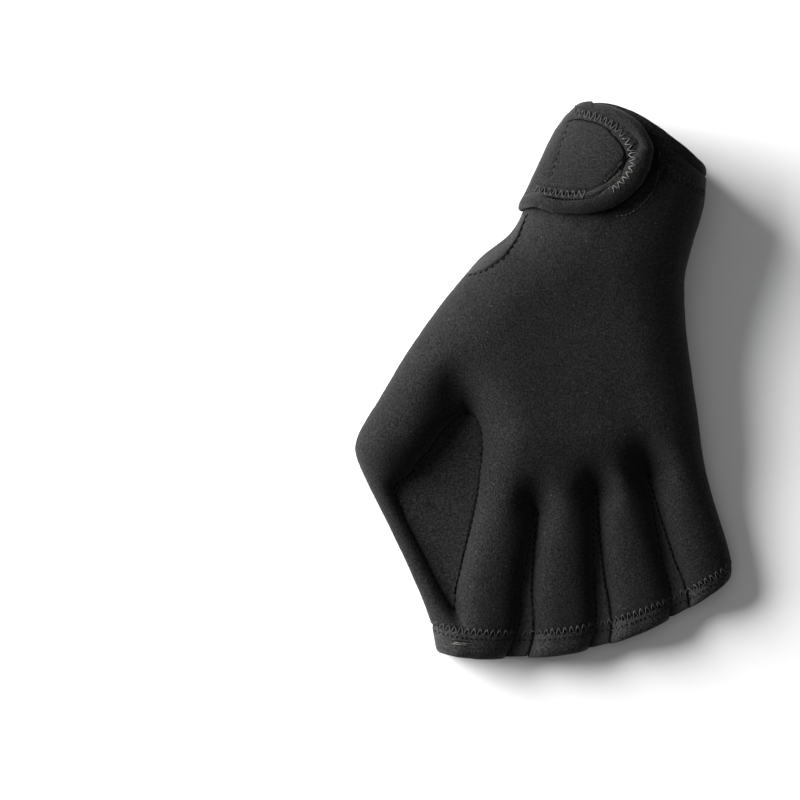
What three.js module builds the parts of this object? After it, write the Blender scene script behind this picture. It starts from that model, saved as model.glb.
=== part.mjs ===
// A webbed swim glove for the left hand, lying palm down: X across the hand from thumb to little finger,
// Y from the finger mouths to the wrist, Z up from the surface that the palm lies on. Millimetres.
// Two neoprene panels, back and palm, meet at a seam that runs round the hand. Both are pinched together
// along the seams of the let-in webs, so that each finger and the thumb get a channel of their own.
import * as THREE from "three";

// Driving sizes of the hand
const GLOVE_LENGTH = 220; // finger hem to cuff edge
const GLOVE_WIDTH = 151; // thumb tip to little finger
const WALL = 2.5; // neoprene with its jersey facing
const CUFF_DEPTH = 42; // the wrist's oval, back to palm
const CUFF_SHOULDER = 31; // how far in from the side seam the cuff's wall turns over
const HAND_DEPTH = 34;
const HAND_SHOULDER = 22;
const FINGER_DEPTH = 19;
const FINGER_SHOULDER = 10;
const MOUTH_DEPTH = 14; // the empty fingers flatten towards their mouths
const MOUTH_SHOULDER = 7.5;
const THUMB_DEPTH = 23;
const THUMB_SHOULDER = 12;
const RIM_DEPTH = 10; // the folded edge from the thumb tip to the index finger
const RIM_SHOULDER = 4.6;
const CUFF_SEAM_HEIGHT = 19.5; // side seam above the surface at the wrist
const HAND_SEAM_HEIGHT = 13.5;
const FINGER_SEAM_HEIGHT = 8.6;
const MOUTH_SEAM_HEIGHT = 6.4;
const CUFF_BOW = 6.5; // how far the cuff's edge rises over the back of the wrist
const HEM_BOW = 13.8; // how far the middle fingers reach past the corners of the hem

// Driving sizes of the seams, webs and hems
const SEAM_GAP = 0.3; // between pieces that meet
const SEAM_EDGE = 0.9; // half height of a panel at its sewn edge
const WEB_THICKNESS = 3;
const WEB_MOUTH = 8; // width of a finger web at the hem
const WEB_TIP = 1; // width of a finger web at its tip
const FINGER_HEM = 8.5; // depth of the turned hem at the finger mouths
const CUFF_HEM = 5.5;
const HEM_EXTRA = 1; // a turned hem is this much thicker than the wall

// Driving sizes of the strap and its fastener pads
const STRAP_REACH = 46.5; // round the cuff from the thumb side seam to the strap's end
const STRAP_START = -8; // the sewn end lies this side of the seam, on the palm side
const STRAP_WIDTH = 48; // at the thumb side
const STRAP_NECK = 44; // where the round end begins
const STRAP_END_LENGTH = 26;
const STRAP_TIP = 11; // the end's farthest point, down from the cuff's edge
const STRAP_THICKNESS = 2.8;
const RIM_WIDTH = 7.5; // rolled rim round the strap
const RIM_THICKNESS = 4.2;
const PAD_THICKNESS = 1;
const STRAP_CLEARANCE = 0.7; // over the cuff
const LOOP_PAD_MARGIN = 4; // how far the loop pad shows past the strap's end
const LOOP_PAD_START = 16;
const HOOK_PAD_MARGIN = 8; // how far the hook pad stays inside the strap's outline

const WEB_HOLLOW = 0.4; // a web is this much thinner, each side, in its middle
const WEB_END_GAP = 0.06; // in stations
const END_STEPS = 7; // facets round a quarter of the strap's end
const BINDING_STEPS = 9;
const RIM_CELLS = 4;
const RIM_SIDE = 0.45; // height of the rolled rim's sides, as a share of its middle
const RIM_FULLNESS = 0.7; // under 1, the rim's section is fuller than half a wave
const FIELD_CELLS = 8;
const FIELD_STEPS = 11;
const HOOK_PAD_CELLS = 5;
const LOOP_PAD_CELLS = 6;
const LOOP_PAD_TOP = 2; // the loop pad starts this far below the cuff's edge

// Stations run from 0 at the cuff's edge to 16 at the finger mouths, one to a row of the outline table.
// Each row holds the left and right end of a line across the hand, as shares of the width and length.
const OUTLINE = [
  { place: "cuff edge", leftX: 0.585, leftY: 0.986, rightX: 0.924, rightY: 0.88 },
  { place: "strap", leftX: 0.53, leftY: 0.928, rightX: 0.92, rightY: 0.817 },
  { place: "strap", leftX: 0.478, leftY: 0.86, rightX: 0.896, rightY: 0.762 },
  { place: "below strap", leftX: 0.446, leftY: 0.805, rightX: 0.877, rightY: 0.713 },
  { place: "wrist notch", leftX: 0.41, leftY: 0.76, rightX: 0.867, rightY: 0.681 },
  { place: "wrist notch", leftX: 0.342, leftY: 0.726, rightX: 0.867, rightY: 0.656 },
  { place: "thumb root", leftX: 0.285, leftY: 0.681, rightX: 0.869, rightY: 0.624 },
  { place: "thumb", leftX: 0.214, leftY: 0.624, rightX: 0.875, rightY: 0.581 },
  { place: "thumb", leftX: 0.128, leftY: 0.534, rightX: 0.885, rightY: 0.529 },
  { place: "thumb", leftX: 0.068, leftY: 0.466, rightX: 0.896, rightY: 0.475 },
  { place: "thumb", leftX: 0.026, leftY: 0.421, rightX: 0.906, rightY: 0.43 },
  { place: "thumb tip", leftX: 0.003, leftY: 0.384, rightX: 0.914, rightY: 0.389 },
  { place: "folded edge", leftX: 0.013, leftY: 0.346, rightX: 0.924, rightY: 0.346 },
  { place: "folded edge", leftX: 0.086, leftY: 0.246, rightX: 0.948, rightY: 0.283 },
  { place: "folded edge", leftX: 0.154, leftY: 0.145, rightX: 0.977, rightY: 0.22 },
  { place: "index corner", leftX: 0.201, leftY: 0.068, rightX: 0.997, rightY: 0.172 },
  { place: "finger hem", leftX: 0.217, leftY: 0.011, rightX: 0.995, rightY: 0.142 },
];
const LAST = OUTLINE.length - 1;

// The thumb web's two edges, as shares of the line across the hand at each station
const THUMB_WEB = [
  { station: 0, near: 0.2, far: 0.22 },
  { station: 9.5, near: 0.286, far: 0.314 },
  { station: 10, near: 0.248, far: 0.353 },
  { station: 11, near: 0.215, far: 0.372 },
  { station: 12, near: 0.152, far: 0.35 },
  { station: 12.4, near: 0.062, far: 0.32 },
  { station: 13, near: 0.066, far: 0.249 },
  { station: 14, near: 0.073, far: 0.134 },
  { station: 14.6, near: 0.079, far: 0.092 },
  { station: 16, near: 0.085, far: 0.098 },
];
const THUMB_WEB_TOP = 9.5;
const THUMB_WEB_BOTTOM = 14.6;

// The middle line of each finger web, and the station of its tip
const FINGER_WEBS = [
  { tip: 12.6, cuff: 0.42, atTip: 0.482, low: 0.352, hem: 0.25 },
  { tip: 12.3, cuff: 0.62, atTip: 0.675, low: 0.585, hem: 0.524 },
  { tip: 12, cuff: 0.8, atTip: 0.836, low: 0.812, hem: 0.808 },
];
const WEB_LOW_STATION = 14;

// Small helpers
const mix = (a, b, t) => a + (b - a) * t;
const clamp = (t) => Math.min(1, Math.max(0, t));
const ease = (t) => clamp(t) ** 2 * (3 - 2 * clamp(t));
// A quarter ellipse: 0 at a seam, 1 once it is a shoulder's width away
const shoulder = (t) => Math.sqrt(1 - (1 - clamp(t)) ** 2);

// The value of a smooth curve through evenly spaced values
function curve(values, t) {
  const i = Math.min(values.length - 2, Math.max(0, Math.floor(t)));
  const f = t - i;
  const at = (k) => values[Math.min(values.length - 1, Math.max(0, k))];
  const [a, b, c, d] = [at(i - 1), at(i), at(i + 1), at(i + 2)];
  return b + 0.5 * f * (c - a + f * (2 * a - 5 * b + 4 * c - d + f * (3 * (b - c) + d - a)));
}

// A value between the rows of a table whose rows name their station
function along(rows, column, station) {
  let k = 1;
  while (k < rows.length - 1 && rows[k].station < station) k++;
  const [a, b] = [rows[k - 1], rows[k]];
  return mix(a[column], b[column], clamp((station - a.station) / (b.station - a.station)));
}

// Plan of the hand
const CUFF_BOW_LEAN = 0.66; // under 1, the cuff's bow stands highest on the thumb's side
const CUFF_BOW_END = 3; // stations over which the bows fade
const HEM_BOW_START = 8;
const HEM_BOW_FULLNESS = 0.85;
const column = (name) => OUTLINE.map((row) => row[name]);
const [LEFT_X, LEFT_Y, RIGHT_X, RIGHT_Y] = ["leftX", "leftY", "rightX", "rightY"].map(column);

// The point of the plan at share u across the hand, on the line of a station
function plan(u, station) {
  const lx = curve(LEFT_X, station) * GLOVE_WIDTH;
  const ly = curve(LEFT_Y, station) * GLOVE_LENGTH;
  const rx = curve(RIGHT_X, station) * GLOVE_WIDTH;
  const ry = curve(RIGHT_Y, station) * GLOVE_LENGTH;
  const span = Math.hypot(rx - lx, ry - ly);
  const nearCuff = clamp(1 - station / CUFF_BOW_END);
  const nearHem = ease((station - HEM_BOW_START) / (LAST - HEM_BOW_START));
  const cuffBow = CUFF_BOW * nearCuff * Math.sin(Math.PI * u ** CUFF_BOW_LEAN);
  const hemBow = HEM_BOW * nearHem * Math.sin(Math.PI * clamp(u)) ** HEM_BOW_FULLNESS;
  const bow = cuffBow - hemBow;
  return new THREE.Vector2(
    mix(lx, rx, u) - (bow * (ry - ly)) / span,
    mix(ly, ry, u) + (bow * (rx - lx)) / span,
  );
}

const spanAt = (station) => plan(0, station).distanceTo(plan(1, station));

// The shares at which the edges of the web strips lie: thumb web, then the three finger webs
function stripEdges(station) {
  const edges = [along(THUMB_WEB, "near", station), along(THUMB_WEB, "far", station)];
  for (const web of FINGER_WEBS) {
    const line = [
      { station: 0, u: web.cuff },
      { station: web.tip, u: web.atTip },
      { station: WEB_LOW_STATION, u: web.low },
      { station: LAST, u: web.hem },
    ];
    const middle = along(line, "u", station);
    const widening = clamp((station - web.tip) / (LAST - web.tip));
    const half = mix(WEB_TIP, WEB_MOUTH, widening) / 2 / spanAt(station);
    edges.push(middle - half, middle + half);
  }
  return edges;
}

// Seams as lines in the plan
const SEAM_STEP = 0.1;
function seamLine(shareAt, from, to) {
  const points = [];
  const steps = Math.ceil((to - from) / SEAM_STEP);
  for (let k = 0; k <= steps; k++) {
    const station = mix(from, to, k / steps);
    points.push(plan(shareAt(station), station));
  }
  return points;
}
const edgeShare = (index) => (station) => stripEdges(station)[index];
const bothSides = (edge, from, to) => [edge, edge + 1].map((side) => seamLine(edgeShare(side), from, to));
const SEAMS = [
  seamLine(() => 0, 0, LAST),
  seamLine(() => 1, 0, LAST),
  ...bothSides(0, THUMB_WEB_TOP, THUMB_WEB_BOTTOM),
  ...FINGER_WEBS.flatMap((web, i) => bothSides(2 * i + 2, web.tip, LAST)),
];

function distanceToLine(point, line) {
  let best = Infinity;
  for (let k = 1; k < line.length; k++) {
    const ax = line[k - 1].x;
    const ay = line[k - 1].y;
    const bx = line[k].x - ax;
    const by = line[k].y - ay;
    const t = clamp(((point.x - ax) * bx + (point.y - ay) * by) / (bx * bx + by * by));
    best = Math.min(best, Math.hypot(point.x - ax - t * bx, point.y - ay - t * by));
  }
  return best;
}
const seamDistance = (point) => Math.min(...SEAMS.map((line) => distanceToLine(point, line)));

// How deep the glove is from its side seam to the outside, and how wide its shoulder is
const DEPTHS = [
  { station: 0, depth: CUFF_DEPTH, shoulder: CUFF_SHOULDER, seam: CUFF_SEAM_HEIGHT },
  { station: 3.5, depth: CUFF_DEPTH, shoulder: CUFF_SHOULDER,
    seam: mix(CUFF_SEAM_HEIGHT, HAND_SEAM_HEIGHT, 0.15) },
  { station: 8, depth: HAND_DEPTH, shoulder: HAND_SHOULDER, seam: HAND_SEAM_HEIGHT },
  { station: 10.5, depth: mix(HAND_DEPTH, FINGER_DEPTH, 0.3),
    shoulder: mix(HAND_SHOULDER, FINGER_SHOULDER, 0.35),
    seam: mix(HAND_SEAM_HEIGHT, FINGER_SEAM_HEIGHT, 0.4) },
  { station: 13.2, depth: FINGER_DEPTH, shoulder: FINGER_SHOULDER, seam: FINGER_SEAM_HEIGHT },
  { station: 16, depth: MOUTH_DEPTH, shoulder: MOUTH_SHOULDER, seam: MOUTH_SEAM_HEIGHT },
];

// Where the thumb's and the folded edge's own sizes hold: shares of the width, and stations
const THUMB = { spread: 0.34, from: 6.5, full: 9.5 };
const FOLDED_EDGE = { within: 0.1, gone: 0.16, from: 11.7, full: 12.6, until: 14.2, end: 15.4 };
const rise = (value, from, full) => ease((value - from) / (full - from));

function sizesAt(u, station) {
  let depth = along(DEPTHS, "depth", station);
  let reach = along(DEPTHS, "shoulder", station);
  const thumb = ease(1 - u / THUMB.spread) * rise(station, THUMB.from, THUMB.full);
  depth = mix(depth, THUMB_DEPTH, thumb);
  reach = mix(reach, THUMB_SHOULDER, thumb);
  const { within, gone, from, full, until, end } = FOLDED_EDGE;
  const rim = rise(-u, -gone, -within) * rise(station, from, full) * (1 - rise(station, until, end));
  depth = mix(depth, RIM_DEPTH, rim);
  reach = mix(reach, RIM_SHOULDER, rim);
  return { half: depth / 2, reach, seam: along(DEPTHS, "seam", station) };
}

// The panel's outer and inner height at a point: side is 1 on the back and -1 on the palm.
// The palm is flat where it lies on the surface.
function surfacePoint(u, station, side, wall) {
  const p = plan(u, station);
  const { half, reach, seam } = sizesAt(u, station);
  const d = seamDistance(p);
  const outer = SEAM_EDGE + (half - SEAM_EDGE) * shoulder(d / reach);
  const inner = SEAM_GAP / 2 + (half - wall) * shoulder((d - wall) / (reach - wall));
  const height = wall ? Math.min(inner, outer - SEAM_EDGE + SEAM_GAP) : outer;
  const floor = wall || 0;
  const z = side > 0 ? seam + height : Math.max(Math.min(floor, seam - SEAM_GAP / 2), seam - height);
  return new THREE.Vector3(p.x, p.y, z);
}

// Stations of the rows: the key ones, with even steps between them
const ROW_STEP = 0.55;
const ROW_CLEAR = 0.04; // a piece's own end row stands in for a shared row this near
const stationStep = (a, b) => plan(0.5, a).distanceTo(plan(0.5, b));
const CUFF_HEM_STATION = CUFF_HEM / stationStep(0, 1);
const HEM_STATION = LAST - FINGER_HEM / stationStep(LAST - 1, LAST);
const HEM_GAP_STATION = SEAM_GAP / stationStep(LAST - 1, LAST);
const CUFF_GAP_STATION = (2 * SEAM_GAP) / stationStep(0, 1);
const KEY_STATIONS = [
  0, CUFF_HEM_STATION, 3, 5, THUMB_WEB_TOP, ...FINGER_WEBS.map((web) => web.tip).reverse(), THUMB_WEB_BOTTOM,
  HEM_STATION, LAST,
].sort((a, b) => a - b);

const ROWS = KEY_STATIONS.slice(1).reduce((rows, key) => {
  const start = rows[rows.length - 1];
  const steps = Math.max(1, Math.round((key - start) / ROW_STEP));
  for (let k = 1; k <= steps; k++) rows.push(mix(start, key, k / steps));
  return rows;
}, [KEY_STATIONS[0]]);

// All pieces share these rows, so that their edges follow each other
const rowsBetween = (from, to) =>
  [from, ...ROWS.filter((row) => row > from + ROW_CLEAR && row < to - ROW_CLEAR), to];

// Columns across the hand: the thumb strip, then index, middle, ring and little finger, with a web
// strip before each finger. Columns crowd towards the seams, where the wall turns over.
const THUMB_CELLS = 7;
const FINGER_CELLS = 6;
function columnsAt(station) {
  const edges = stripEdges(station);
  const starts = [0, edges[1], edges[3], edges[5], edges[7]];
  const ends = [edges[0], edges[2], edges[4], edges[6], 1];
  const shares = [];
  starts.forEach((start, strip) => {
    const cells = strip ? FINGER_CELLS : THUMB_CELLS;
    for (let k = 0; k <= cells; k++) {
      shares.push(mix(start, ends[strip], (1 - Math.cos((Math.PI * k) / cells)) / 2));
    }
  });
  return shares;
}
// The first column of each strip, and the web strip that lies just before it
const stripStart = (strip) => (strip ? THUMB_CELLS + 1 + (strip - 1) * (FINGER_CELLS + 1) : 0);
const WEB_CELLS = [1, 2, 3, 4].map((strip) => stripStart(strip) - 1);

// A closed solid from a grid of outer and inner points. Cells are left out where keep says so, and
// wrap joins the last column to the first.
function shellGeometry(outer, inner, { keep = () => true, flip = false, wrap = false } = {}) {
  const rows = outer.length;
  const cols = outer[0].length;
  const cells = wrap ? cols : cols - 1;
  const positions = [];
  const index = [];
  const numbered = new Map();
  const vertex = (grid, layer, r, c) => {
    const key = (layer * rows + r) * cols + (c % cols);
    if (!numbered.has(key)) {
      const p = grid[r][c % cols];
      numbered.set(key, positions.length / 3);
      positions.push(p.x, p.y, p.z);
    }
    return numbered.get(key);
  };
  const top = (r, c) => vertex(outer, 0, r, c);
  const under = (r, c) => vertex(inner, 1, r, c);
  const quad = (a, b, c, d) => {
    if (flip) index.push(a, c, b, a, d, c);
    else index.push(a, b, c, a, c, d);
  };
  const kept = (r, c) => {
    if (r < 0 || r >= rows - 1) return false;
    if (!wrap && (c < 0 || c >= cells)) return false;
    return keep(r, (c + cells) % cells);
  };
  for (let r = 0; r < rows - 1; r++) {
    for (let c = 0; c < cells; c++) {
      if (!kept(r, c)) continue;
      quad(top(r, c), top(r + 1, c), top(r + 1, c + 1), top(r, c + 1));
      quad(under(r, c), under(r, c + 1), under(r + 1, c + 1), under(r + 1, c));
      if (!kept(r - 1, c)) quad(top(r, c), top(r, c + 1), under(r, c + 1), under(r, c));
      if (!kept(r + 1, c)) quad(top(r + 1, c + 1), top(r + 1, c), under(r + 1, c), under(r + 1, c + 1));
      if (!kept(r, c - 1)) quad(top(r + 1, c), top(r, c), under(r, c), under(r + 1, c));
      if (!kept(r, c + 1)) quad(top(r, c + 1), top(r + 1, c + 1), under(r + 1, c + 1), under(r, c + 1));
    }
  }
  const geometry = new THREE.BufferGeometry();
  geometry.setAttribute("position", new THREE.Float32BufferAttribute(positions, 3));
  geometry.setIndex(index);
  geometry.computeVertexNormals();
  return geometry;
}

// Materials
const neoprene = new THREE.MeshStandardMaterial({ color: 0x1c1c1e, roughness: 0.9, metalness: 0 });
const webNeoprene = new THREE.MeshStandardMaterial({ color: 0x212123, roughness: 0.92, metalness: 0 });
const loopPile = new THREE.MeshStandardMaterial({ color: 0x161618, roughness: 1, metalness: 0 });
const hookPlastic = new THREE.MeshStandardMaterial({ color: 0x101011, roughness: 0.6, metalness: 0 });

const glove = new THREE.Group();
function addPiece(name, geometry, material) {
  const piece = new THREE.Mesh(geometry, material);
  piece.name = name;
  glove.add(piece);
}

// Back and palm panels: one grid each, with the web strips left out between their seams
function panelGeometry(side) {
  const rows = rowsBetween(CUFF_HEM_STATION + CUFF_GAP_STATION, HEM_STATION - HEM_GAP_STATION);
  const grid = (wall) =>
    rows.map((station) => columnsAt(station).map((u) => surfacePoint(u, station, side, wall)));
  const keep = (r, c) => {
    const web = WEB_CELLS.indexOf(c);
    const middle = (rows[r] + rows[r + 1]) / 2;
    if (web < 0) return true;
    if (web === 0) return middle < THUMB_WEB_TOP || middle > THUMB_WEB_BOTTOM;
    return middle < FINGER_WEBS[web - 1].tip;
  };
  return shellGeometry(grid(0), grid(WALL), { keep, flip: side < 0 });
}
addPiece("back_panel", panelGeometry(1), neoprene);
addPiece("palm_panel", panelGeometry(-1), neoprene);

// Webs: flat sheets at the height of the side seam, edge to edge with the panels
function webGeometry(edge, from, to, cells) {
  const stations = rowsBetween(from, to);
  const grid = (side) =>
    stations.map((station) => {
      const edges = stripEdges(station);
      const inset = SEAM_GAP / spanAt(station);
      const seam = along(DEPTHS, "seam", station);
      return Array.from({ length: cells + 1 }, (_, c) => {
        const p = plan(mix(edges[edge] + inset, edges[edge + 1] - inset, c / cells), station);
        const half = WEB_THICKNESS / 2 - WEB_HOLLOW * Math.sin((Math.PI * c) / cells);
        return new THREE.Vector3(p.x, p.y, seam + side * half);
      });
    });
  return shellGeometry(grid(1), grid(-1));
}
const THUMB_WEB_CELLS = 6;
const FINGER_WEB_CELLS = 2;
const webTop = THUMB_WEB_TOP + WEB_END_GAP;
const webBottom = THUMB_WEB_BOTTOM - WEB_END_GAP;
addPiece("thumb_web", webGeometry(0, webTop, webBottom, THUMB_WEB_CELLS), webNeoprene);
FINGER_WEBS.forEach((web, i) => {
  const wedge = webGeometry(2 * i + 2, web.tip + WEB_END_GAP, LAST, FINGER_WEB_CELLS);
  addPiece(`finger_web_${i + 1}`, wedge, webNeoprene);
});

// Turned hems: rings of doubled neoprene round the finger mouths, and an open one round the cuff.
// A ring runs over the back in the panel's own columns, and home again under the palm.
function hemGeometry(stations, firstColumn, lastColumn, closed) {
  const loop = (thickness) =>
    stations.map((station) => {
      const inset = thickness / spanAt(station);
      const columns = columnsAt(station).slice(firstColumn, lastColumn + 1);
      const [a, b] = [columns[0], columns[columns.length - 1]];
      const shares = columns.map((u) => mix(a + inset, b - inset, (u - a) / (b - a)));
      const back = shares.map((u) => surfacePoint(u, station, 1, thickness));
      const palm = shares.map((u) => surfacePoint(u, station, -1, thickness));
      return [...back, ...palm.reverse()];
    });
  return shellGeometry(loop(0), loop(WALL + HEM_EXTRA), { wrap: closed });
}
const hemRows = rowsBetween(HEM_STATION, LAST);
["index", "middle", "ring", "little"].forEach((finger, i) => {
  const first = i ? stripStart(i + 1) : 0;
  addPiece(`${finger}_hem`, hemGeometry(hemRows, first, stripStart(i + 1) + FINGER_CELLS, true), neoprene);
});
const allColumns = stripStart(4) + FINGER_CELLS;
addPiece("cuff_hem", hemGeometry([0, CUFF_HEM_STATION], 0, allColumns, false), neoprene);

// The cuff's outer face, by s, the way round it from the thumb side seam over the back, and t, the way
// down from its edge. Each station's section is measured once and read back by length.
const MAP_STEP = 1;
const MAP_START = -14;
const MAP_END = 66;
const MAP_ROWS = 44;
const MAP_FIRST_STATION = -0.4;
const MAP_STATION_STEP = 0.1;
const CUFF_STATION_LENGTH = stationStep(0, 3) / 3;
const SAMPLES = 90; // over the back, and a third as many under the palm
const SAMPLE_CROWDING = 1.6; // over 1, the samples crowd towards the seam
const SAMPLE_REACH = 0.97; // share of the way over the back

function sectionByLength(station) {
  const points = [];
  for (let k = -SAMPLES / 3; k <= SAMPLES; k++) {
    const share = SAMPLE_REACH * Math.abs(k / SAMPLES) ** SAMPLE_CROWDING;
    points.push({ k, point: surfacePoint(share, station, k < 0 ? -1 : 1, 0), length: 0 });
  }
  for (let i = 1; i < points.length; i++) {
    points[i].length = points[i - 1].length + points[i].point.distanceTo(points[i - 1].point);
  }
  const seam = points.find((entry) => entry.k === 0).length;
  const read = [];
  let i = 1;
  for (let s = MAP_START; s <= MAP_END; s += MAP_STEP) {
    while (i < points.length - 1 && points[i].length - seam < s) i++;
    const [a, b] = [points[i - 1], points[i]];
    read.push(a.point.clone().lerp(b.point, (s - a.length + seam) / (b.length - a.length)));
  }
  return read;
}
const CUFF_MAP = Array.from({ length: MAP_ROWS }, (_, k) =>
  sectionByLength(MAP_FIRST_STATION + k * MAP_STATION_STEP));

function cuffPoint(s, t) {
  const row = (t / CUFF_STATION_LENGTH - MAP_FIRST_STATION) / MAP_STATION_STEP;
  const col = (s - MAP_START) / MAP_STEP;
  const r = Math.min(CUFF_MAP.length - 2, Math.max(0, Math.floor(row)));
  const c = Math.min(CUFF_MAP[0].length - 2, Math.max(0, Math.floor(col)));
  const across = (line) => line[c].clone().lerp(line[c + 1], col - c);
  return across(CUFF_MAP[r]).lerp(across(CUFF_MAP[r + 1]), row - r);
}

// The point that stands a height off the cuff's face
const FACE_REACH = 1.5; // how far round a point the face's slope is measured
function overCuff(s, t, height) {
  const alongS = cuffPoint(s + FACE_REACH, t).sub(cuffPoint(s - FACE_REACH, t));
  const alongT = cuffPoint(s, t + FACE_REACH).sub(cuffPoint(s, t - FACE_REACH));
  return cuffPoint(s, t).addScaledVector(alongT.cross(alongS).normalize(), height);
}

// The strap's outline, drawn in by an inset: straight from its sewn end, then a lopsided round end
const END_START = STRAP_REACH - STRAP_END_LENGTH;
function strapEdges(s, inset, turn) {
  const bottom = mix(STRAP_WIDTH, STRAP_NECK, clamp(s / END_START)) - inset;
  return {
    top: STRAP_TIP - (STRAP_TIP - inset) * Math.cos(turn),
    bottom: STRAP_TIP + (bottom - STRAP_TIP) * Math.cos(turn),
  };
}
const endReach = (inset, turn) => END_START + (STRAP_END_LENGTH - inset) * Math.sin(turn);
const QUARTER = Math.PI / 2;

// The strap rises over the two fastener pads that lie under its end
const PAD_STACK = 2 * (PAD_THICKNESS + SEAM_GAP);
const PAD_RAMP_START = LOOP_PAD_START - 10;
const PAD_RAMP_LENGTH = 9;
const strapLift = (s) => STRAP_CLEARANCE + PAD_STACK * ease((s - PAD_RAMP_START) / PAD_RAMP_LENGTH);

// A patch between two edges of the strap's outline, from one way round to another
function patchGeometry({ from, inset, lastTurn, heights, cells, straight, margin = 0 }) {
  const lines = [];
  for (let k = 0; k < straight; k++) lines.push({ s: mix(from, END_START, k / straight), turn: 0 });
  for (let k = 0; k <= END_STEPS; k++) {
    const turn = (lastTurn * k) / END_STEPS;
    lines.push({ s: endReach(inset, turn), turn });
  }
  const grid = (height) =>
    lines.map(({ s, turn }) => {
      const { top, bottom } = strapEdges(s, inset, turn);
      return Array.from({ length: cells + 1 }, (_, c) => {
        const t = mix(top + margin, bottom, c / cells);
        return overCuff(s, t, height(s));
      });
    });
  return shellGeometry(grid(heights.top), grid(heights.under), { flip: true });
}
const END_FULLNESS = 0.975; // the blunt last line of a patch lies this share of the way round
const LAST_TURN = END_FULLNESS * QUARTER;

addPiece("wrist_strap", patchGeometry({
  from: STRAP_START, inset: RIM_WIDTH + SEAM_GAP, lastTurn: LAST_TURN,
  cells: FIELD_CELLS, straight: FIELD_STEPS,
  heights: { under: strapLift, top: (s) => strapLift(s) + STRAP_THICKNESS },
}), neoprene);
addPiece("hook_pad", patchGeometry({
  from: LOOP_PAD_START + HOOK_PAD_MARGIN / 2, inset: HOOK_PAD_MARGIN, lastTurn: LAST_TURN,
  cells: HOOK_PAD_CELLS, straight: 1,
  heights: { under: () => 2 * SEAM_GAP + PAD_THICKNESS, top: () => 2 * (SEAM_GAP + PAD_THICKNESS) },
}), hookPlastic);
addPiece("loop_pad", patchGeometry({
  from: LOOP_PAD_START, inset: -LOOP_PAD_MARGIN, lastTurn: LAST_TURN, cells: LOOP_PAD_CELLS, straight: 1,
  margin: LOOP_PAD_MARGIN + LOOP_PAD_TOP,
  heights: { under: () => SEAM_GAP, top: () => SEAM_GAP + PAD_THICKNESS },
}), loopPile);

// The rolled rim: along the top edge, round the end and back along the bottom edge
function bindingGeometry() {
  const path = [];
  for (let k = 0; k < BINDING_STEPS; k++) {
    path.push({ s: mix(STRAP_START, END_START, k / BINDING_STEPS), turn: 0 });
  }
  for (let k = 0; k <= END_STEPS; k++) path.push({ s: null, turn: (QUARTER * k) / END_STEPS });
  const edge = (step, inset, side) => {
    const s = step.s === null ? endReach(inset, step.turn) : step.s;
    return { s, t: strapEdges(s, inset, step.turn)[side] };
  };
  const stops = [
    ...path.map((step) => [edge(step, 0, "top"), edge(step, RIM_WIDTH, "top")]),
    ...path.slice(0, -1).reverse().map((step) => [edge(step, 0, "bottom"), edge(step, RIM_WIDTH, "bottom")]),
  ];
  const grid = (height) =>
    stops.map(([out, into]) =>
      Array.from({ length: RIM_CELLS + 1 }, (_, c) => {
        const share = c / RIM_CELLS;
        const s = mix(out.s, into.s, share);
        return overCuff(s, mix(out.t, into.t, share), height(s, share));
      }));
  const rolled = (s, share) =>
    strapLift(s) + RIM_THICKNESS * mix(RIM_SIDE, 1, Math.sin(Math.PI * clamp(share)) ** RIM_FULLNESS);
  return shellGeometry(grid(rolled), grid(strapLift), { flip: true });
}
addPiece("strap_binding", bindingGeometry(), neoprene);

// The origin is the middle of the glove's footprint, on the surface that it lies on
const box = new THREE.Box3().setFromObject(glove);
const centre = box.getCenter(new THREE.Vector3());
glove.position.set(-centre.x, -centre.y, -box.min.z);

export default glove;
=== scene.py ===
import math

import bmesh
import bpy
import numpy as np
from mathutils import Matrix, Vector, noise
from mathutils.bvhtree import BVHTree


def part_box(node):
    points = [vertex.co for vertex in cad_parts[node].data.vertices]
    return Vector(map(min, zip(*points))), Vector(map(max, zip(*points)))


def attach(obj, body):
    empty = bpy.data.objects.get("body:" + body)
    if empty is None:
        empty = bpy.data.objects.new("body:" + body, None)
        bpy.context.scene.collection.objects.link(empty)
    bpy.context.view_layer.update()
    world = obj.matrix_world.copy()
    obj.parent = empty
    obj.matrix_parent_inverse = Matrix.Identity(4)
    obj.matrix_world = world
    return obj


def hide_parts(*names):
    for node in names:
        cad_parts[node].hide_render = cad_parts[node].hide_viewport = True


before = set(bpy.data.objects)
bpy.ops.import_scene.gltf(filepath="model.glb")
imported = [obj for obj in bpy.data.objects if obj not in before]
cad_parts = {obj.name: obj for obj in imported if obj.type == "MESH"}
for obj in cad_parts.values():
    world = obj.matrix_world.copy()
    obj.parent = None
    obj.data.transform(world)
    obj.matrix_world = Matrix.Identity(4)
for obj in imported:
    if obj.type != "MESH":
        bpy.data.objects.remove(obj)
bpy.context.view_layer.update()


# The glove's neoprene is faced on both sides with a thin knitted jersey, dyed nearly black. The jersey takes
# the light as a fine speckle, is a little uneven in tone, and carries a few pale specks of lint.
JERSEY_DARK = (0.0018, 0.0018, 0.0019, 1)
JERSEY_LIGHT = (0.0158, 0.0158, 0.0165, 1)
LINT = (0.035, 0.035, 0.037, 1)
STITCH_LOOP = (0.0006, 0.0008, 0.0006)
TONE_PATCH = 0.028
LINT_SPACING = 0.0045


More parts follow.
